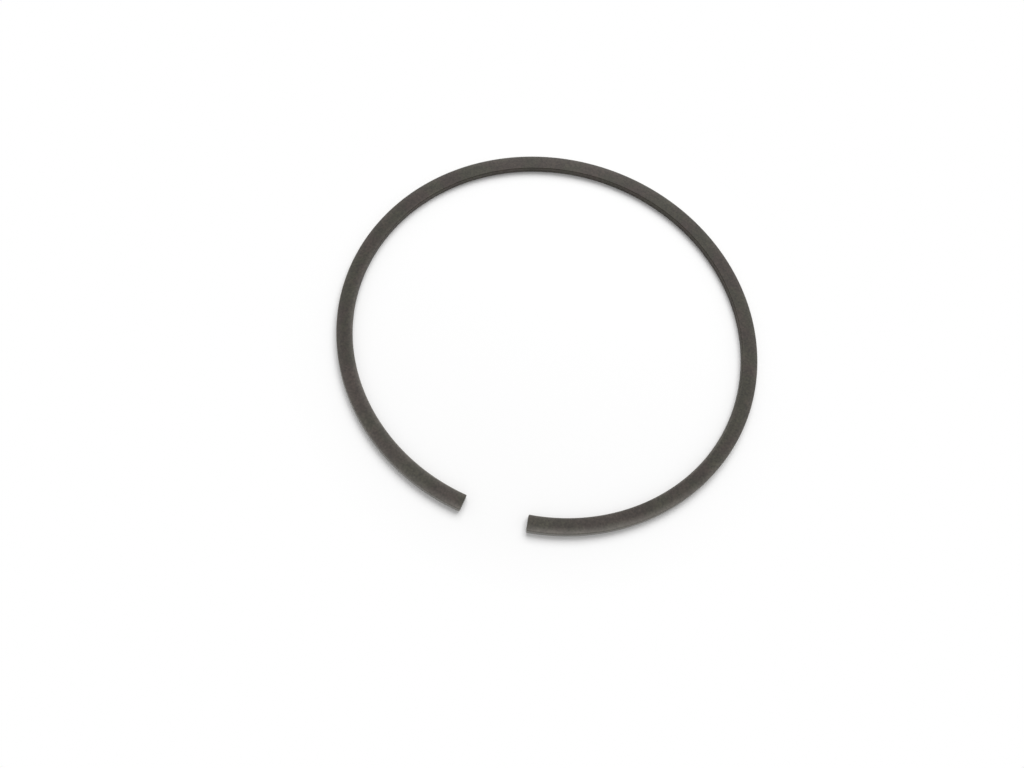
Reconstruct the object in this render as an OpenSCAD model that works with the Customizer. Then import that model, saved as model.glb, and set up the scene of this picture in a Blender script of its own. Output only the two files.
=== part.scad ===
// Compression piston ring, lying free and sprung open, with square butt ends.
// One section is swept round three tangent arcs: the back half, and a tighter arc to each end.
// The ring lies flat with its lower side on z = 0. The gap faces -Y, and the back is at +Y.

/* [Fit] */
// Diameter of the closed ring, which is the bore of the cylinder that it seals
bore_d = 86; // [60:0.5:110]
// Gap between the ends when the ring is closed in its cylinder
closed_gap = 0.3; // [0.1:0.05:0.8]
// Gap between the ends at the middle of the wall when the ring lies free
free_gap = 13.3; // [8:0.1:20]

/* [Section] */
// Radial thickness of the wall
wall_t = 3.35; // [2:0.05:5]
// Axial height between the two sides
ring_h = 1.5; // [1:0.05:3]
// Lean of the running face in degrees, so that its lower edge bears first
face_taper = 1; // [0:0.25:3]

/* [Edges] */
// Width of the bevel on both inside edges
inner_bevel = 0.2; // [0.05:0.01:0.4]
// Width of the bevel on the upper outside edge
outer_bevel = 0.1; // [0.02:0.01:0.3]
// Width of the bevel down the outside corner of each end
end_bevel = 0.15; // [0.05:0.01:0.4]

/* [Hidden] */

// Dark grey phosphate coat on grey iron
iron_grey = [0.306, 0.302, 0.282];
// Sides of a full turn
facets = 360;
// How far a cutting shape reaches past the surface that it cuts
overrun = 1;
// Radii are held to a hundredth and section points to a tenth of a micron, so that the arcs meet exactly
radius_grain = 0.01;
point_grain = 0.0001;
// Part of the ring's spring that the back half takes up, where the bending is greatest
back_share = 1.6;

function to_grain(value, grain) = round(value / grain) * grain;
function to_degrees(angle) = angle * 180 / PI;

// The closed ring runs on this radius at the middle of its wall
mid_r = (bore_d - wall_t) / 2;
half_length = PI * mid_r - closed_gap / 2;

// A ring that presses evenly on its cylinder opens by this fraction of its curvature
spring = (free_gap - closed_gap) / (3 * PI * mid_r);
back_r = to_grain(mid_r / (1 - back_share * spring), radius_grain);

// Each front arc has the length that the back half leaves, and ends at the free gap
front_length = half_length - back_r * PI / 2;
front_reach = back_r - free_gap / 2;
function reach(r) = r * (1 - cos(to_degrees(front_length / r)));
function reach_slope(r) = reach(r) / r - front_length / r * sin(to_degrees(front_length / r));
function front_step(r) = (reach(r) - front_reach) / reach_slope(r);
function front_radius(r) =
    abs(front_step(r)) < point_grain ? r : front_radius(r - front_step(r));
front_r = to_grain(front_radius(mid_r), radius_grain);
front_sweep = to_degrees(front_length / front_r);
front_x = back_r - front_r;

// Middle of the ring's length along Y, measured from the centre of the back arc
back_y = back_r + wall_t / 2;
front_y = (front_r + wall_t / 2) * sin(front_sweep);
centre_y = (back_y - front_y) / 2;

// How far the running face leans in at a height above the lower side
function face_lean(z) = to_grain(z * tan(face_taper), point_grain);

// Outline of the wall, as radius and height, with its middle at radius r
function section(r) = [
    [r - wall_t / 2 + inner_bevel, 0],
    [r + wall_t / 2, 0],
    [r + wall_t / 2 - face_lean(ring_h - outer_bevel), ring_h - outer_bevel],
    [r + wall_t / 2 - face_lean(ring_h) - outer_bevel, ring_h],
    [r - wall_t / 2 + inner_bevel, ring_h],
    [r - wall_t / 2, ring_h - inner_bevel],
    [r - wall_t / 2, inner_bevel]
];

module arc(r, start, sweep) {
    rotate_extrude(angle = sweep, start = start, $fn = facets)
        polygon(section(r));
}

// Wedge that takes off the outside corner of an end lying on the X axis, with the wall on its +Y side
module end_corner(r) {
    outside = r + wall_t / 2;
    translate([0, 0, -overrun])
        linear_extrude(ring_h + 2 * overrun)
            polygon([
                [outside - end_bevel - overrun, -overrun],
                [outside + overrun, -overrun],
                [outside + overrun, end_bevel + overrun]
            ]);
}

module front_arc() {
    translate([front_x, 0, 0])
        difference() {
            arc(front_r, -front_sweep, front_sweep);
            rotate(-front_sweep)
                end_corner(front_r);
        }
}

module compression_ring() {
    color(iron_grey)
        translate([0, -centre_y, 0]) {
            arc(back_r, 0, 180);
            front_arc();
            mirror([1, 0, 0])
                front_arc();
        }
}

compression_ring();
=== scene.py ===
"""Compression piston ring: a fine mesh of the sprung-open ring, its finish, and a studio view of it."""
import logging
import math
from dataclasses import dataclass, field
from enum import Enum
from itertools import accumulate

import bmesh
import bpy
from mathutils import Matrix, Vector


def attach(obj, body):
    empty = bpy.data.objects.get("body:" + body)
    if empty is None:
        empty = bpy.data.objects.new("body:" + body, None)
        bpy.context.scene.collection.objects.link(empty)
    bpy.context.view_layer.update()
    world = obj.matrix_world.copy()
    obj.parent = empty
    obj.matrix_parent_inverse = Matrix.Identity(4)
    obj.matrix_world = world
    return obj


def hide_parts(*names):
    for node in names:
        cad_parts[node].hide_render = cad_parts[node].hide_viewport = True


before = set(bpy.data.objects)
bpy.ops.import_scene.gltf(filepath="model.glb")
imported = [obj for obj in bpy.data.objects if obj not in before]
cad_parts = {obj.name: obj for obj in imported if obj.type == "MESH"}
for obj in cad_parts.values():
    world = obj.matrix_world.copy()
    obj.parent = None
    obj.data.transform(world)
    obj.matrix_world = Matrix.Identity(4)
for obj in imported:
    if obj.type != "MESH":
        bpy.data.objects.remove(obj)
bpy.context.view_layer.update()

BODY = "root"
NODE = "compression_ring"
SLOT = "phosphated_iron"
FLAT_MAP = "OFBake"
MM = 0.001
WALL = 3.35 * MM

Colour = tuple[float, float, float]
Span = tuple[float, float]
Socket = bpy.types.NodeSocket
Loop = list[bmesh.types.BMVert]
Faces = list[bmesh.types.BMFace]

log = logging.getLogger("piston_ring")


class Skin(Enum):
    """Stretch of the wall's outline that a point lies on."""

    LOWER_SIDE = "lower side"
    RUNNING_FACE = "running face"
    OUTER_BEVEL = "outer bevel"
    UPPER_SIDE = "upper side"
    UPPER_INNER_BEVEL = "upper inner bevel"
    INSIDE_FACE = "inside face"
    LOWER_INNER_BEVEL = "lower inner bevel"


class Edge(Enum):
    """Edge of the sides that a lighter band of rubbed wear and painted highlight runs along, as the way to
    it from the middle of the wall.
    """

    INNER = -1.0
    OUTER = 1.0


class Trait(Enum):
    """Named number that each point of the mesh carries for its finish."""

    LAPPED = "lapped"
    ARRIS = "arris"
    RIM = "rim"


TraitLayers = dict[Trait, bmesh.types.BMLayerItem]


@dataclass(frozen=True)
class OutlinePoint:
    """One point of the wall's outline.

    Attributes:
        across: Distance outward from the middle of the wall.
        height: Height above the lower side.
        skin: Stretch of the outline that the point lies on.
        arris: 1 on a rounded corner and 0 on a flat.
    """

    across: float
    height: float
    skin: Skin
    arris: float


@dataclass
class WallSection:
    """The wall's outline, with its bevels and softened corners.

    Attributes:
        thickness: Radial thickness of the wall.
        height: Height between the two sides.
        face_taper: Lean of the running face.
        inner_bevel: Width of the bevel on both inside edges.
        outer_bevel: Width of the bevel on the upper outside edge.
        corner_radius: Radius that softens each corner.
        corner_steps: Faces round each corner.
        flat_margin: Distance from a corner to the first point of a flat.
        flat_step: Distance between the points of a flat.
        flat_least: Width up to which a flat has no points of its own.
    """

    thickness: float = WALL
    height: float = 1.5 * MM
    face_taper: float = math.radians(1.0)
    inner_bevel: float = 0.2 * MM
    outer_bevel: float = 0.1 * MM
    corner_radius: float = 0.04 * MM
    corner_steps: int = 4
    flat_margin: float = 0.06 * MM
    flat_step: float = 0.3 * MM
    flat_least: float = 0.18 * MM

    def corners(self) -> list[tuple[Vector, Skin]]:
        """Gives the sharp corners in order, each with the stretch that starts there.

        Returns:
            Corners as (across, height) and the stretch that runs from each to the next.
        """
        half = self.thickness / 2
        slope = math.tan(self.face_taper)
        shoulder = self.height - self.outer_bevel
        return [
            (Vector((-half + self.inner_bevel, 0.0)), Skin.LOWER_SIDE),
            (Vector((half, 0.0)), Skin.RUNNING_FACE),
            (Vector((half - shoulder * slope, shoulder)), Skin.OUTER_BEVEL),
            (Vector((half - self.height * slope - self.outer_bevel, self.height)), Skin.UPPER_SIDE),
            (Vector((-half + self.inner_bevel, self.height)), Skin.UPPER_INNER_BEVEL),
            (Vector((-half, self.height - self.inner_bevel)), Skin.INSIDE_FACE),
            (Vector((-half, self.inner_bevel)), Skin.LOWER_INNER_BEVEL),
        ]

    def outline(self) -> list[OutlinePoint]:
        """Rounds the corners and divides the flats.

        Returns:
            The outline's points, in order round the wall.
        """
        corners = self.corners()
        count = len(corners)
        points: list[OutlinePoint] = []
        for index, (corner, skin) in enumerate(corners):
            before, before_skin = corners[index - 1]
            after = corners[(index + 1) % count][0]
            points += self._rounded(before, corner, after, before_skin, skin)
            points += self._flat(corner, after, skin)
        return points

    def _rounded(
        self, before: Vector, corner: Vector, after: Vector, before_skin: Skin, skin: Skin
    ) -> list[OutlinePoint]:
        """Gives the points of one softened corner.

        Args:
            before: The corner before this one.
            corner: The corner itself.
            after: The corner after this one.
            before_skin: Stretch that ends at the corner.
            skin: Stretch that starts at the corner.

        Returns:
            Points on a smooth curve that touches both stretches.
        """
        back = (before - corner).normalized()
        ahead = (after - corner).normalized()
        reach = self.corner_radius / math.tan(back.angle(ahead) / 2)
        points = []
        for step in range(self.corner_steps + 1):
            share = step / self.corner_steps
            place = corner + back * reach * (1 - share) ** 2 + ahead * reach * share ** 2
            side = before_skin if share < 0.5 else skin
            points.append(OutlinePoint(place.x, place.y, side, 1.0))
        return points

    def _flat(self, start: Vector, end: Vector, skin: Skin) -> list[OutlinePoint]:
        """Gives the points along one flat, clear of its corners.

        Args:
            start: Corner that the flat starts from.
            end: Corner that the flat runs to.
            skin: Stretch of the outline.

        Returns:
            Points close to both ends, and between them where the flat is wide. A narrow flat has none.
        """
        run = end - start
        if run.length <= self.flat_least:
            return []
        clear = run * (self.flat_margin / run.length)
        first = start + clear
        last = end - clear
        parts = max(1, round((last - first).length / self.flat_step))
        places = [first.lerp(last, part / parts) for part in range(parts + 1)]
        return [OutlinePoint(place.x, place.y, skin, 0.0) for place in places]


@dataclass
class SprungLine:
    """The line along the middle of the wall: a back half and a tighter arc to each end.

    Attributes:
        bore: Diameter of the closed ring.
        wall: Radial thickness of the wall.
        closed_gap: Gap between the ends of the closed ring.
        free_gap: Gap between the ends as the ring lies free.
        back_share: Part of the ring's spring that the back half takes up.
        gap_gain: Radii that the gap of an evenly pressing ring opens by, for a spring of 1.
        radius_grain: What the radii are rounded to.
        settled: Step at which the search for the front radius ends.
        back_radius: Radius of the back half.
        front_radius: Radius of the arc to each end.
        front_sweep: Angle that each front arc turns through.
    """

    bore: float = 86.0 * MM
    wall: float = WALL
    closed_gap: float = 0.3 * MM
    free_gap: float = 13.3 * MM
    back_share: float = 1.6
    gap_gain: float = 3 * math.pi
    radius_grain: float = 0.01 * MM
    settled: float = 0.00001 * MM
    back_radius: float = field(init=False)
    front_radius: float = field(init=False)
    front_sweep: float = field(init=False)

    def __post_init__(self) -> None:
        """Works out the arcs from the closed ring's length and the free gap."""
        middle = (self.bore - self.wall) / 2
        spring = (self.free_gap - self.closed_gap) / (self.gap_gain * middle)
        self.back_radius = self._to_grain(middle / (1 - self.back_share * spring))
        length = math.pi * middle - self.closed_gap / 2 - self.back_radius * math.pi / 2
        self.front_radius = self._to_grain(self._front(length, self.back_radius - self.free_gap / 2, middle))
        self.front_sweep = length / self.front_radius

    def _to_grain(self, radius: float) -> float:
        """Rounds a radius to the drawing's grain."""
        return round(radius / self.radius_grain) * self.radius_grain

    def _front(self, length: float, reach: float, radius: float) -> float:
        """Finds the radius at which an arc of a given length turns in by a given reach.

        Args:
            length: Length of the arc.
            reach: How far its end lies inside its start, across the ring.
            radius: First guess.

        Returns:
            The radius, by Newton's rule.
        """
        step = radius
        while abs(step) > self.settled:
            turn = length / radius
            depth = 1 - math.cos(turn)
            step = (radius * depth - reach) / (depth - turn * math.sin(turn))
            radius -= step
        return radius

    @property
    def half_length(self) -> float:
        """Length from the middle of the back to an end."""
        return self.back_radius * math.pi / 2 + self.front_radius * self.front_sweep

    @property
    def centre_y(self) -> float:
        """Middle of the ring's length along Y, from the centre of the back arc."""
        outside = self.wall / 2
        return (self.back_radius + outside - (self.front_radius + outside) * math.sin(self.front_sweep)) / 2

    def place(self, along: float) -> tuple[Vector, Vector]:
        """Gives a point of the line and the outward direction there.

        Args:
            along: Distance from the middle of the back, positive towards +X.

        Returns:
            The point and the unit outward direction, both in the ring's plane.
        """
        quarter = self.back_radius * math.pi / 2
        distance = abs(along)
        if distance <= quarter:
            turn = math.pi / 2 - distance / self.back_radius
            centre, radius = 0.0, self.back_radius
        else:
            turn = -(distance - quarter) / self.front_radius
            centre, radius = self.back_radius - self.front_radius, self.front_radius
        side = 1.0 if along >= 0 else -1.0
        outward = Vector((side * math.cos(turn), math.sin(turn), 0.0))
        point = Vector((side * centre, -self.centre_y, 0.0)) + outward * radius
        return point, outward


@dataclass(frozen=True)
class Mottle:
    """One layer of uneven colour or grain.

    Attributes:
        scale: Features per metre.
        detail: Octaves of detail.
        span: Two values of the layer that count as nothing and as full.
    """

    scale: float
    detail: float
    span: Span


@dataclass(frozen=True)
class NodeBench:
    """Adds and joins the nodes of one material or of the surroundings.

    Attributes:
        tree: Node tree to add to.
    """

    tree: bpy.types.NodeTree

    def place(self) -> Socket:
        """Gives the place on the piece, in its own coordinates."""
        return self.tree.nodes.new("ShaderNodeTexCoord").outputs["Object"]

    def trait(self, trait: Trait) -> Socket:
        """Reads one of the mesh's named numbers.

        Args:
            trait: The number to read.

        Returns:
            Its value on the surface.
        """
        node = self.tree.nodes.new("ShaderNodeAttribute")
        node.attribute_name = trait.value
        return node.outputs["Fac"]

    def noise(self, mottle: Mottle) -> Socket:
        """Adds a noise that fills space.

        Args:
            mottle: Scale and detail of the noise.

        Returns:
            The noise's value, not yet stretched.
        """
        node = self._noise_node(mottle)
        self.tree.links.new(self.place(), node.inputs["Vector"])
        return node.outputs["Fac"]

    def level_lines(self, mottle: Mottle) -> Socket:
        """Adds fine lines that lie level, one above the other.

        Args:
            mottle: Scale and detail of the lines.

        Returns:
            The lines' value, not yet stretched.
        """
        split = self.tree.nodes.new("ShaderNodeSeparateXYZ")
        self.tree.links.new(self.place(), split.inputs["Vector"])
        node = self._noise_node(mottle)
        node.noise_dimensions = "1D"
        self.tree.links.new(split.outputs["Z"], node.inputs["W"])
        return node.outputs["Fac"]

    def _noise_node(self, mottle: Mottle) -> bpy.types.Node:
        """Adds a noise, not yet joined to anything.

        Args:
            mottle: Scale and detail of the noise.

        Returns:
            The new node.
        """
        node = self.tree.nodes.new("ShaderNodeTexNoise")
        node.inputs["Scale"].default_value = mottle.scale
        node.inputs["Detail"].default_value = mottle.detail
        return node

    def spread(self, value: Socket, span: Span, onto: Span = (0.0, 1.0)) -> Socket:
        """Stretches a span of a value onto another span, and holds it there.

        Args:
            value: Value to stretch.
            span: Two values that become the ends of the new span.
            onto: The new span.

        Returns:
            The stretched value.
        """
        node = self.tree.nodes.new("ShaderNodeMapRange")
        node.inputs["From Min"].default_value = span[0]
        node.inputs["From Max"].default_value = span[1]
        node.inputs["To Min"].default_value = onto[0]
        node.inputs["To Max"].default_value = onto[1]
        self.tree.links.new(value, node.inputs["Value"])
        return node.outputs["Result"]

    def combine(self, operation: str, first: Socket, second: Socket) -> Socket:
        """Joins two values into one.

        Args:
            operation: Blender's name for the arithmetic, such as MULTIPLY or MAXIMUM.
            first: First value.
            second: Second value.

        Returns:
            The joined value.
        """
        node = self.tree.nodes.new("ShaderNodeMath")
        node.operation = operation
        self.tree.links.new(first, node.inputs[0])
        self.tree.links.new(second, node.inputs[1])
        return node.outputs["Value"]

    def blend(self, share: Socket, under: Socket | Colour, over: Socket | Colour) -> Socket:
        """Lays one colour over another.

        Args:
            share: Share of the upper colour, 0 to 1.
            under: Colour underneath, as a socket or linear values.
            over: Colour on top, as a socket or linear values.

        Returns:
            The blended colour.
        """
        node = self.tree.nodes.new("ShaderNodeMix")
        node.data_type = "RGBA"
        sockets = {socket.name: socket for socket in node.inputs if socket.type == "RGBA"}
        self.tree.links.new(share, node.inputs["Factor"])
        for name, colour in (("A", under), ("B", over)):
            if isinstance(colour, tuple):
                sockets[name].default_value = (*colour, 1.0)
            else:
                self.tree.links.new(colour, sockets[name])
        return next(socket for socket in node.outputs if socket.type == "RGBA")

    def times(self, colour: Socket, factor: Socket) -> Socket:
        """Multiplies a colour.

        Args:
            colour: Colour to multiply.
            factor: Colour or value to multiply it by.

        Returns:
            The new colour.
        """
        node = self.tree.nodes.new("ShaderNodeVectorMath")
        node.operation = "MULTIPLY"
        self.tree.links.new(colour, node.inputs[0])
        self.tree.links.new(factor, node.inputs[1])
        return node.outputs["Vector"]

    def bump(self, height: Socket, depth: float, strength: float, over: Socket | None = None) -> Socket:
        """Roughens the surface by a height.

        Args:
            height: Height, 0 to 1.
            depth: Distance that a height of 1 stands for.
            strength: Share of the roughening that shows.
            over: Coarser roughening underneath, if there is one.

        Returns:
            The roughened surface's direction.
        """
        node = self.tree.nodes.new("ShaderNodeBump")
        node.inputs["Strength"].default_value = strength
        node.inputs["Distance"].default_value = depth
        self.tree.links.new(height, node.inputs["Height"])
        if over is not None:
            self.tree.links.new(over, node.inputs["Normal"])
        return node.outputs["Normal"]

    def seen(self) -> Socket:
        """Tells what is looked at from what only gives light.

        Returns:
            1 to rays from the eye, in reflections and through glass, and 0 to rays of light.
        """
        path = self.tree.nodes.new("ShaderNodeLightPath")
        direct = self.combine("MAXIMUM", path.outputs["Is Camera Ray"], path.outputs["Is Glossy Ray"])
        return self.combine("MAXIMUM", direct, path.outputs["Is Transmission Ray"])


@dataclass(frozen=True)
class PhosphateFinish:
    """Matte dark phosphate coat on iron, rubbed at its edges, with painted highlight along the sides' edges,
    and lapped along the running face.

    Attributes:
        name: Name of the material.
        coat_dark: Coat where its clouds are darkest.
        coat_light: Coat where its clouds are lightest.
        plum_tint: What the coat is multiplied by where it leans to plum.
        olive_tint: What the coat is multiplied by where it leans to olive.
        rubbed_and_highlight_dark: Iron that shows where the coat is rubbed, and the colour of the painted
            highlight bands, between its flecks.
        rubbed_and_highlight_light: The same iron on its flecks.
        lapped: Iron of the lapped land.
        coat_roughness: Roughness of the coat.
        lapped_roughness: Roughness of the lapped land.
        specular: Strength of the gloss.
        clouds: Soft light and dark patches of the coat.
        hues: Patches that lean to plum or to olive.
        flecks: Coarser grain of the coat.
        fleck_gain: What the flecks multiply the coat's colour by.
        fleck_depth: Depth of the flecks.
        crystals: Finest grain of the coat.
        crystal_depth: Depth of the crystals.
        grain_strength: Share of the grain's depth that shows.
        rim_clouds: Values of the clouds at which a rim band of rubbed wear and painted highlight fades out
            and is full.
        arris_share: Rubbed share along a corner, from whole crystals to chipped ones.
        lines: Level lines that lapping leaves on the land.
    """

    name: str = SLOT
    coat_dark: Colour = (0.0233, 0.0190, 0.0139)
    coat_light: Colour = (0.0335, 0.0274, 0.0200)
    plum_tint: Colour = (1.09, 0.94, 1.04)
    olive_tint: Colour = (0.93, 1.06, 0.89)
    rubbed_and_highlight_dark: Colour = (0.128, 0.119, 0.106)
    rubbed_and_highlight_light: Colour = (0.192, 0.179, 0.160)
    lapped: Colour = (0.34, 0.33, 0.31)
    coat_roughness: float = 0.58
    lapped_roughness: float = 0.36
    specular: float = 0.25
    clouds: Mottle = Mottle(scale=240.0, detail=4.0, span=(0.33, 0.70))
    hues: Mottle = Mottle(scale=200.0, detail=2.0, span=(0.40, 0.60))
    flecks: Mottle = Mottle(scale=2300.0, detail=3.0, span=(0.28, 0.72))
    fleck_gain: Span = (0.45, 1.55)
    fleck_depth: float = 0.016 * MM
    crystals: Mottle = Mottle(scale=7000.0, detail=2.0, span=(0.35, 0.60))
    crystal_depth: float = 0.006 * MM
    grain_strength: float = 0.6
    rim_clouds: Span = (-0.9, 0.6)
    arris_share: Span = (0.0, 0.4)
    lines: Mottle = Mottle(scale=16000.0, detail=3.0, span=(0.2, 0.6))

    def material(self) -> bpy.types.Material:
        """Builds the node material.

        Returns:
            The finished material.
        """
        material = bpy.data.materials.new(self.name)
        material.use_nodes = True
        tree = material.node_tree
        bench = NodeBench(tree)
        shader = tree.nodes["Principled BSDF"]
        shader.inputs["Specular IOR Level"].default_value = self.specular
        crystals = bench.noise(self.crystals)
        flecks = bench.noise(self.flecks)
        land = self._land(bench)
        colour = self._colour(bench, crystals, flecks, land)
        roughness = bench.spread(land, (0.0, 1.0), (self.coat_roughness, self.lapped_roughness))
        tree.links.new(colour, shader.inputs["Base Color"])
        tree.links.new(roughness, shader.inputs["Roughness"])
        coarse = bench.bump(flecks, self.fleck_depth, self.grain_strength)
        fine = bench.bump(crystals, self.crystal_depth, self.grain_strength, coarse)
        tree.links.new(fine, shader.inputs["Normal"])
        return material

    def _land(self, bench: NodeBench) -> Socket:
        """Gives how far the running face is lapped bright, broken up by level lines."""
        lines = bench.spread(bench.level_lines(self.lines), self.lines.span)
        return bench.combine("MULTIPLY", bench.trait(Trait.LAPPED), lines)

    def _colour(self, bench: NodeBench, crystals: Socket, flecks: Socket, land: Socket) -> Socket:
        """Lays the coat's clouds, tints and flecks, then the iron that is rubbed, the painted highlight
        bands along the sides' edges, and what is lapped.

        Args:
            bench: Bench of the material's nodes.
            crystals: Value of the finest grain.
            flecks: Value of the coarser grain.
            land: How far the running face is lapped.

        Returns:
            The surface's colour.
        """
        clouds = bench.noise(self.clouds)
        coat = bench.blend(bench.spread(clouds, self.clouds.span), self.coat_dark, self.coat_light)
        hue = bench.spread(bench.noise(self.hues), self.hues.span)
        tinted = bench.times(coat, bench.blend(hue, self.plum_tint, self.olive_tint))
        flecked = bench.times(tinted, bench.spread(flecks, self.flecks.span, self.fleck_gain))
        iron = bench.blend(bench.spread(flecks, self.flecks.span), self.rubbed_and_highlight_dark, self.rubbed_and_highlight_light)
        # Rim bands: rubbed wear together with painted highlight, blended to the iron colour.
        rim = bench.combine("MULTIPLY", bench.trait(Trait.RIM), bench.spread(clouds, self.rim_clouds))
        rimmed = bench.blend(rim, flecked, iron)
        chipped = bench.spread(crystals, self.crystals.span, self.arris_share)
        worn = bench.blend(bench.combine("MULTIPLY", bench.trait(Trait.ARRIS), chipped), rimmed, iron)
        return bench.blend(land, worn, self.lapped)


@dataclass(frozen=True)
class RubbedAndHighlightRim:
    """Lighter band along one edge of the sides: rubbed coat together with painted highlight, lightest
    towards one direction round the ring.

    Attributes:
        edge: Edge that the band runs along.
        bearing: Direction from the middle of the ring where the band is lightest, in degrees from +X.
        focus: How closely the band keeps to that direction.
        widths: Least and greatest width of the band.
        depths: Least and greatest share of the coat that is lightened at the edge itself, by rubbing and
            painted highlight.
        falloff: How quickly the band fades away from the edge.
    """

    edge: Edge
    bearing: float
    focus: float
    widths: Span
    depths: Span
    falloff: float = 1.5

    def share(self, outward: Vector, across: float, half: float) -> float:
        """Gives how far the coat is lightened by rubbing and painted highlight.

        Args:
            outward: Outward direction at this place along the ring.
            across: Distance outward from the middle of the wall.
            half: Half of the wall's thickness.

        Returns:
            The lightened share, from 0 up.
        """
        angle = math.radians(self.bearing)
        towards = Vector((math.cos(angle), math.sin(angle), 0.0))
        lean = ((1 + outward.dot(towards)) / 2) ** self.focus
        width = self.widths[0] + (self.widths[1] - self.widths[0]) * lean
        depth = self.depths[0] + (self.depths[1] - self.depths[0]) * lean
        distance = half - self.edge.value * across
        return depth * max(0.0, 1 - distance / width) ** self.falloff


@dataclass(frozen=True)
class Station:
    """Place along the ring where the wall's outline stands.

    Attributes:
        along: Distance from the middle of the back, positive towards +X.
        inset: How far the outline is drawn in on every side.
        cut: Whether the outline lies in the flat of an end.
    """

    along: float
    inset: float = 0.0
    cut: bool = False


@dataclass
class FlatSheet:
    """Square sheet that the ring's surface is unrolled onto: its length in rows, then the flats of its ends.

    Attributes:
        along_steps: Distances along the ring, from each outline to the next.
        around_steps: Distances round the wall, from each point of the outline to the next.
        wall: Radial thickness of the wall.
        height: Height of the wall.
        rows: Rows that the length is cut into.
        margin: Clear space beside each row.
        least_step: Room that the narrowest face gets.
        along: Places of the outlines along the length.
        around: Places of the outline's points round the wall.
        side: Length of the sheet's sides.
    """

    along_steps: list[float]
    around_steps: list[float]
    wall: float
    height: float
    rows: int = 5
    margin: float = 0.6 * MM
    least_step: float = 0.05 * MM
    along: list[float] = field(init=False)
    around: list[float] = field(init=False)
    side: float = field(init=False)

    def __post_init__(self) -> None:
        """Adds up the steps and works out the sheet's size."""
        self.along = self._added(self.along_steps)
        self.around = self._added(self.around_steps)
        width = self.along[-1] / self.rows + 2 * self.margin
        self.side = max(width, self._row_start(self.rows) + self.height + self.margin)

    def _added(self, steps: list[float]) -> list[float]:
        """Adds up steps from nothing, none of them narrower than the least."""
        return list(accumulate((max(self.least_step, step) for step in steps), initial=0.0))

    def _row_start(self, row: int) -> float:
        """Gives how far up the sheet a row starts."""
        return self.margin + row * (self.around[-1] + self.margin)

    def wall_spots(self, band: int, step: int) -> list[Span]:
        """Gives the places of the four corners of one of the wall's faces.

        Args:
            band: Number of the face's band, counted along the ring.
            step: Number of the face in its band, counted round the wall.

        Returns:
            Places on the sheet, as shares of its side.
        """
        near, far = self.along[band], self.along[band + 1]
        below, above = self.around[step], self.around[step + 1]
        row = int(self.rows * (near + far) / 2 / self.along[-1])
        left = self.margin - row * self.along[-1] / self.rows
        low = self._row_start(row)
        corners = ((near, below), (near, above), (far, above), (far, below))
        return [((left + x) / self.side, (low + y) / self.side) for x, y in corners]

    def end_spot(self, end: int, across: float, height: float) -> Span:
        """Gives the place of a point on the flat of an end.

        Args:
            end: 0 for the first end and 1 for the last.
            across: Distance outward from the middle of the wall.
            height: Height above the lower side.

        Returns:
            Place on the sheet, as shares of its side.
        """
        left = self.margin + self.wall / 2 + end * (self.wall + self.margin)
        low = self._row_start(self.rows)
        return (left + across) / self.side, (low + height) / self.side


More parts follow.
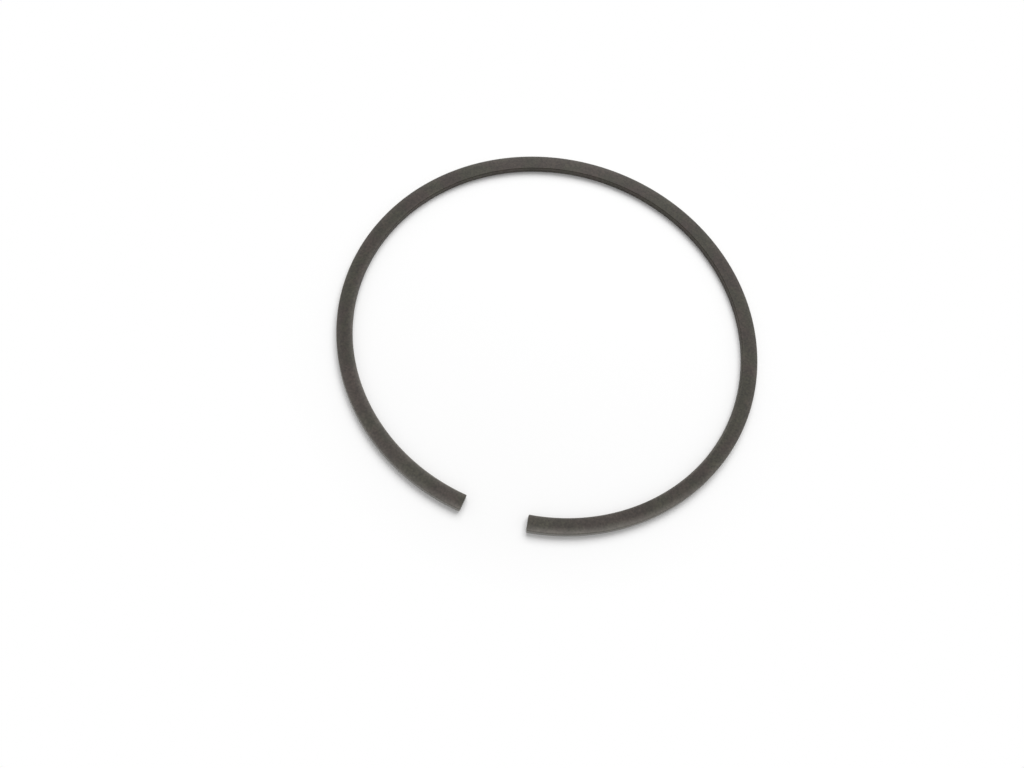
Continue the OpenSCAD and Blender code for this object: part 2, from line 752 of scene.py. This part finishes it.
@dataclass
class CompressionRing:
    """The ring itself: the wall's section carried along the sprung line.

    Attributes:
        section: The wall's outline.
        line: Line that the middle of the wall follows.
        finish: Finish of the whole ring.
        stations: Stretches that the plain part of the ring is divided into.
        end_bevel: Width of the bevel down the outside corner of each end.
        end_bevel_steps: Stretches along that bevel.
        end_round: Radius that softens the edge of each end.
        end_round_steps: Faces round that edge.
        end_margin: Distance that keeps the flat of an end, and the plain wall, clear of its edge.
        smooth_angle: Faces that meet at less than this are shaded as one.
        rims: Bands where the sides are rubbed.
        inside_rubbed: Rubbed share of the inside face.
        face_rubbed: Rubbed share of the running face and its bevel.
        cut_rubbed: Rubbed share of the flats of the ends.
        land_top: Share of the height where the lapped land starts to show.
        land_full: Share of the height below which the land is fully lapped.
    """

    section: WallSection = field(default_factory=WallSection)
    line: SprungLine = field(default_factory=SprungLine)
    finish: PhosphateFinish = field(default_factory=PhosphateFinish)
    stations: int = 560
    end_bevel: float = 0.15 * MM
    end_bevel_steps: int = 4
    end_round: float = 0.03 * MM
    end_round_steps: int = 3
    end_margin: float = 0.02 * MM
    smooth_angle: float = math.radians(40.0)
    rims: tuple[RubbedAndHighlightRim, ...] = (
        # Each band is rubbed wear together with painted highlight and glint, lightest towards its bearing
        # round the ring.
        RubbedAndHighlightRim(Edge.INNER, bearing=-140.0, focus=3.0, widths=(0.6 * MM, 1.4 * MM), depths=(0.0, 0.45)),
        RubbedAndHighlightRim(Edge.INNER, bearing=-128.0, focus=6.0, widths=(0.45 * MM, 0.45 * MM), depths=(0.0, 0.4)),
        RubbedAndHighlightRim(Edge.INNER, bearing=-27.0, focus=40.0, widths=(0.7 * MM, 0.7 * MM), depths=(0.0, 0.45)),
        RubbedAndHighlightRim(Edge.INNER, bearing=-10.0, focus=2.0, widths=(0.6 * MM, 0.6 * MM), depths=(0.0, 0.14)),
        RubbedAndHighlightRim(Edge.INNER, bearing=-102.0, focus=4.0, widths=(8.0 * MM, 8.0 * MM), depths=(0.0, 0.22)),
        RubbedAndHighlightRim(Edge.OUTER, bearing=30.0, focus=1.0, widths=(8.0 * MM, 8.0 * MM), depths=(0.0, 0.09)),
        RubbedAndHighlightRim(Edge.OUTER, bearing=100.0, focus=8.0, widths=(8.0 * MM, 8.0 * MM), depths=(0.0, 0.13)),
        RubbedAndHighlightRim(Edge.OUTER, bearing=-68.0, focus=10.0, widths=(1.3 * MM, 1.6 * MM), depths=(0.22, 1.02)),
    )
    inside_rubbed: float = 0.32
    face_rubbed: float = 0.9
    cut_rubbed: float = 0.11
    land_top: float = 0.95
    land_full: float = 0.45

    def build(self) -> bpy.types.Object:
        """Makes the ring's object, with its finish.

        Returns:
            The ring, in the frame's coordinates.
        """
        outline = self.section.outline()
        mesh = bpy.data.meshes.new("ring_wall")
        grid = bmesh.new()
        traits = {trait: grid.verts.layers.float.new(trait.value) for trait in Trait}
        flat_map = grid.loops.layers.uv.new(FLAT_MAP)
        loops = [self._loop(grid, traits, outline, station) for station in self._stations()]
        bands = [self._band(grid, near, far) for near, far in zip(loops, loops[1:])]
        ends = [self._flat_end(grid, traits, loop) for loop in (loops[0], loops[-1])]
        self._unroll(flat_map, loops, bands, ends)
        bmesh.ops.recalc_face_normals(grid, faces=grid.faces)
        grid.to_mesh(mesh)
        grid.free()
        mesh.set_sharp_from_angle(angle=self.smooth_angle)
        ring = bpy.data.objects.new("ring", mesh)
        bpy.context.collection.objects.link(ring)
        mesh.materials.append(self.finish.material())
        return ring

    def _stations(self) -> list[Station]:
        """Gives the places along the ring, from the flat of one end to the flat of the other.

        Returns:
            Stations, close together at the ends and evenly spaced between them.
        """
        left = self._end(-1.0)
        right = self._end(1.0)
        reach = right[-1].along
        even = [Station(reach * (2 * step / self.stations - 1)) for step in range(1, self.stations)]
        return left + even + right[::-1]

    def _end(self, side: float) -> list[Station]:
        """Works out the stations of one end: its flat, its softened edge and its outside bevel.

        Args:
            side: -1 for the end on the -X side and 1 for the end on the +X side.

        Returns:
            Stations, from the flat of the end to where the plain wall starts.
        """
        half = self.line.half_length
        end = [Station(side * half, self.end_round + self.end_margin, cut=True)]
        for step in range(self.end_round_steps + 1):
            turn = math.pi / 2 * step / self.end_round_steps
            away = self.end_round * (1 - math.cos(turn))
            end.append(Station(side * (half - away), self.end_round * (1 - math.sin(turn))))
        run = self.end_bevel + self.end_margin - self.end_round
        for step in range(1, self.end_bevel_steps + 1):
            away = self.end_round + run * step / self.end_bevel_steps
            end.append(Station(side * (half - away)))
        return end

    def _loop(
        self, grid: bmesh.types.BMesh, traits: TraitLayers, outline: list[OutlinePoint], station: Station
    ) -> Loop:
        """Places the outline at one station.

        Args:
            grid: Mesh to add to.
            traits: Layers for the named numbers.
            outline: The wall's outline.
            station: Place along the ring.

        Returns:
            The new points, in the outline's order.
        """
        centre, outward = self.line.place(station.along)
        half = self.section.thickness / 2
        middle = self.section.height / 2
        to_end = self.line.half_length - abs(station.along)
        squeeze = 1 - max(0.0, self.end_bevel - to_end) / half
        loop = []
        for point in outline:
            across = point.across * (squeeze if point.across > 0 else 1.0) * (1 - station.inset / half)
            height = middle + (point.height - middle) * (1 - station.inset / middle)
            vert = grid.verts.new(centre + outward * across + Vector((0.0, 0.0, height)))
            vert[traits[Trait.ARRIS]] = 0.0 if station.cut else point.arris
            vert[traits[Trait.LAPPED]] = 0.0 if station.cut else self._lapped(point)
            vert[traits[Trait.RIM]] = self.cut_rubbed if station.cut else self._rim(point, outward)
            loop.append(vert)
        return loop

    def _lapped(self, point: OutlinePoint) -> float:
        """Gives how far a point lies on the lapped land, low on the running face.

        Args:
            point: Point of the outline.

        Returns:
            The lapped share, 0 to 1.
        """
        if point.skin is not Skin.RUNNING_FACE:
            return 0.0
        share = point.height / self.section.height
        return min(1.0, max(0.0, (self.land_top - share) / (self.land_top - self.land_full)))

    def _rim(self, point: OutlinePoint, outward: Vector) -> float:
        """Gives how far the coat is lightened at a point: rubbed wear, and along the sides' edges also
        painted highlight.

        Args:
            point: Point of the outline.
            outward: Outward direction at this place along the ring.

        Returns:
            The lightened share, 0 to 1.
        """
        if point.skin is Skin.INSIDE_FACE:
            return self.inside_rubbed
        if point.skin in (Skin.RUNNING_FACE, Skin.OUTER_BEVEL):
            return self.face_rubbed
        half = self.section.thickness / 2
        return min(1.0, sum(rim.share(outward, point.across, half) for rim in self.rims))

    def _band(self, grid: bmesh.types.BMesh, near: Loop, far: Loop) -> Faces:
        """Joins two neighbouring outlines with faces.

        Args:
            grid: Mesh to add to.
            near: Points of one outline.
            far: Points of the next, in the same order.

        Returns:
            The new faces, in the outline's order.
        """
        count = len(near)
        faces = []
        for index in range(count):
            after = (index + 1) % count
            face = grid.faces.new((near[index], near[after], far[after], far[index]))
            face.smooth = True
            faces.append(face)
        return faces

    def _flat_end(self, grid: bmesh.types.BMesh, traits: TraitLayers, loop: Loop) -> Faces:
        """Fills the flat of an end from its middle.

        Args:
            grid: Mesh to add to.
            traits: Layers for the named numbers.
            loop: Points round the flat.

        Returns:
            The new faces.
        """
        middle = grid.verts.new(sum((vert.co for vert in loop), Vector()) / len(loop))
        middle[traits[Trait.RIM]] = self.cut_rubbed
        return [grid.faces.new((here, after, middle)) for here, after in zip(loop, loop[1:] + loop[:1])]

    def _unroll(
        self, flat_map: bmesh.types.BMLayerItem, loops: list[Loop], bands: list[Faces], ends: list[Faces]
    ) -> None:
        """Gives each face its place on a flat sheet, so that a texture can be drawn on the ring.

        Args:
            flat_map: Layer for the places on the sheet.
            loops: Outlines along the ring.
            bands: Faces from each outline to the next.
            ends: Faces of the flats of the two ends.
        """
        along = [
            sum((there.co - here.co).length for here, there in zip(near, far)) / len(near)
            for near, far in zip(loops, loops[1:])
        ]
        back = loops[len(loops) // 2]
        around = [(after.co - here.co).length for here, after in zip(back, back[1:] + back[:1])]
        sheet = FlatSheet(along, around, self.section.thickness, self.section.height)
        for band, faces in enumerate(bands):
            for step, face in enumerate(faces):
                for corner, spot in zip(face.loops, sheet.wall_spots(band, step)):
                    corner[flat_map].uv = spot
        for end, faces in enumerate(ends):
            centre, outward = self.line.place((2 * end - 1) * self.line.half_length)
            for corner in (corner for face in faces for corner in face.loops):
                offset = corner.vert.co - centre
                corner[flat_map].uv = sheet.end_spot(end, offset.dot(outward), offset.z)


def direction(azimuth: float, elevation: float) -> Vector:
    """Gives a direction in space.

    Args:
        azimuth: Turn from +Y towards +X.
        elevation: Rise from the level.

    Returns:
        The unit direction.
    """
    level = math.cos(elevation)
    return Vector((level * math.sin(azimuth), level * math.cos(azimuth), math.sin(elevation)))


@dataclass(frozen=True)
class ViewPoint:
    """Where the camera stands: turned, raised and rolled about a point on the floor.

    Attributes:
        azimuth: Turn of the view from +Y towards +X.
        elevation: How steeply the camera looks down.
        roll: Turn about the line of sight.
        distance: Distance from the point that it looks at.
        aim: Point that it looks at.
        lens: Focal length, in the sensor's millimetres.
        sensor: Width of the sensor, in millimetres.
        clip: Nearest and furthest distance that it sees.
    """

    azimuth: float = math.radians(-1.765)
    elevation: float = math.radians(65.451)
    roll: float = math.radians(15.713)
    distance: float = 209.234 * MM
    aim: tuple[float, float, float] = (-4.579 * MM, -14.658 * MM, 0.0)
    lens: float = 35.156
    sensor: float = 36.0
    clip: Span = (5.0 * MM, 20.0)

    def camera(self) -> bpy.types.Object:
        """Makes the scene's camera.

        Returns:
            The camera object.
        """
        data = bpy.data.cameras.new("view")
        data.sensor_width = self.sensor
        data.lens = self.lens
        data.clip_start, data.clip_end = self.clip
        camera = bpy.data.objects.new("view", data)
        forward = direction(self.azimuth, -self.elevation)
        flat_right = Vector((math.cos(self.azimuth), -math.sin(self.azimuth), 0.0))
        flat_up = flat_right.cross(forward)
        right = flat_right * math.cos(self.roll) + flat_up * math.sin(self.roll)
        up = flat_up * math.cos(self.roll) - flat_right * math.sin(self.roll)
        turn = Matrix((right, up, -forward)).transposed().to_4x4()
        camera.matrix_world = Matrix.Translation(Vector(self.aim) - forward * self.distance) @ turn
        bpy.context.collection.objects.link(camera)
        bpy.context.scene.camera = camera
        return camera


@dataclass(frozen=True)
class SoftBox:
    """A large soft lamp that faces the ring.

    Attributes:
        name: Name of the lamp.
        azimuth: Turn of the lamp from +Y towards +X.
        elevation: How high it stands over the floor.
        distance: Distance from the ring.
        width: Width of its face.
        depth: Other width of its face.
        power: Power, in watts.
    """

    name: str
    azimuth: float
    elevation: float
    distance: float
    width: float
    depth: float
    power: float

    def lamp(self) -> bpy.types.Object:
        """Makes the lamp.

        Returns:
            The lamp object, turned to the ring.
        """
        data = bpy.data.lights.new(self.name, "AREA")
        data.shape = "RECTANGLE"
        data.size = self.width
        data.size_y = self.depth
        data.energy = self.power
        lamp = bpy.data.objects.new(self.name, data)
        away = direction(self.azimuth, self.elevation)
        lamp.location = away * self.distance
        lamp.rotation_euler = away.to_track_quat("Z", "Y").to_euler()
        bpy.context.collection.objects.link(lamp)
        return lamp


@dataclass
class Studio:
    """Pale floor, white surroundings, soft lamps and the camera.

    Attributes:
        floor_half: Half of the floor's width.
        floor_drop: Distance of the floor below the ring.
        floor_grey: Level of the floor's colour.
        floor_fade: Distances from the middle where the floor starts and ends turning to plain white.
        ambient: Light that the surroundings give.
        backdrop: Level of the surroundings to the eye and in reflections, where 1 is white.
        view: Where the camera stands.
        lamps: The lamps.
    """

    floor_half: float = 3.0
    floor_drop: float = 0.02 * MM
    floor_grey: float = 0.97
    floor_fade: Span = (46.0 * MM, 58.0 * MM)
    ambient: float = 0.485
    backdrop: float = 1.0
    view: ViewPoint = field(default_factory=ViewPoint)
    lamps: tuple[SoftBox, ...] = (
        SoftBox(
            name="back_softbox",
            azimuth=0.0,
            elevation=math.radians(50.0),
            distance=1.8,
            width=1.8,
            depth=1.3,
            power=28.5,
        ),
    )

    def build(self) -> None:
        """Makes the floor, the surroundings, the lamps and the camera."""
        self._floor()
        self._surroundings()
        for lamp in self.lamps:
            lamp.lamp()
        self.view.camera()

    def _floor(self) -> None:
        """Makes the pale floor just under the ring."""
        mesh = bpy.data.meshes.new("floor")
        half = self.floor_half
        corners = [(-half, -half), (half, -half), (half, half), (-half, half)]
        mesh.from_pydata([(x, y, -self.floor_drop) for x, y in corners], [], [(0, 1, 2, 3)])
        floor = bpy.data.objects.new("floor", mesh)
        bpy.context.collection.objects.link(floor)
        mesh.materials.append(self._floor_material())

    def _floor_material(self) -> bpy.types.Material:
        """Makes a matte pale floor that turns to plain white away from the ring.

        Returns:
            The floor's material. It takes the ring's shadow close by.
        """
        material = bpy.data.materials.new("floor_white")
        material.use_nodes = True
        tree = material.node_tree
        bench = NodeBench(tree)
        matte = tree.nodes["Principled BSDF"]
        matte.inputs["Base Color"].default_value = (self.floor_grey,) * 3 + (1.0,)
        matte.inputs["Roughness"].default_value = 1.0
        matte.inputs["Specular IOR Level"].default_value = 0.0
        distance = tree.nodes.new("ShaderNodeVectorMath")
        distance.operation = "LENGTH"
        tree.links.new(bench.place(), distance.inputs[0])
        far = bench.spread(distance.outputs["Value"], self.floor_fade)
        white = tree.nodes.new("ShaderNodeEmission")
        white.inputs["Strength"].default_value = self.backdrop
        mix = tree.nodes.new("ShaderNodeMixShader")
        tree.links.new(bench.combine("MULTIPLY", far, bench.seen()), mix.inputs["Fac"])
        tree.links.new(matte.outputs["BSDF"], mix.inputs[1])
        tree.links.new(white.outputs["Emission"], mix.inputs[2])
        tree.links.new(mix.outputs["Shader"], tree.nodes["Material Output"].inputs["Surface"])
        return material

    def _surroundings(self) -> None:
        """Makes the world: white to the eye and in reflections, and a soft fill as light."""
        world = bpy.data.worlds.new("surroundings")
        bpy.context.scene.world = world
        world.use_nodes = True
        tree = world.node_tree
        tree.nodes.clear()
        out = tree.nodes.new("ShaderNodeOutputWorld")
        mix = tree.nodes.new("ShaderNodeMixShader")
        tree.links.new(NodeBench(tree).seen(), mix.inputs["Fac"])
        for socket, strength in ((mix.inputs[1], self.ambient), (mix.inputs[2], self.backdrop)):
            light = tree.nodes.new("ShaderNodeBackground")
            light.inputs["Color"].default_value = (1.0, 1.0, 1.0, 1.0)
            light.inputs["Strength"].default_value = strength
            tree.links.new(light.outputs["Background"], socket)
        tree.links.new(mix.outputs["Shader"], out.inputs["Surface"])


def main() -> None:
    """Builds the ring over its frame, dresses it and sets up the studio."""
    logging.basicConfig(level=logging.INFO, format="%(message)s")
    bpy.context.scene.view_settings.view_transform = "Standard"
    ring = CompressionRing().build()
    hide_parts(NODE)
    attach(ring, BODY)
    log.info("%s: %d points, %d faces", ring.name, len(ring.data.vertices), len(ring.data.polygons))
    Studio().build()
    log.info("studio: floor, surroundings, lamps and camera")


if __name__ == "__main__":
    main()
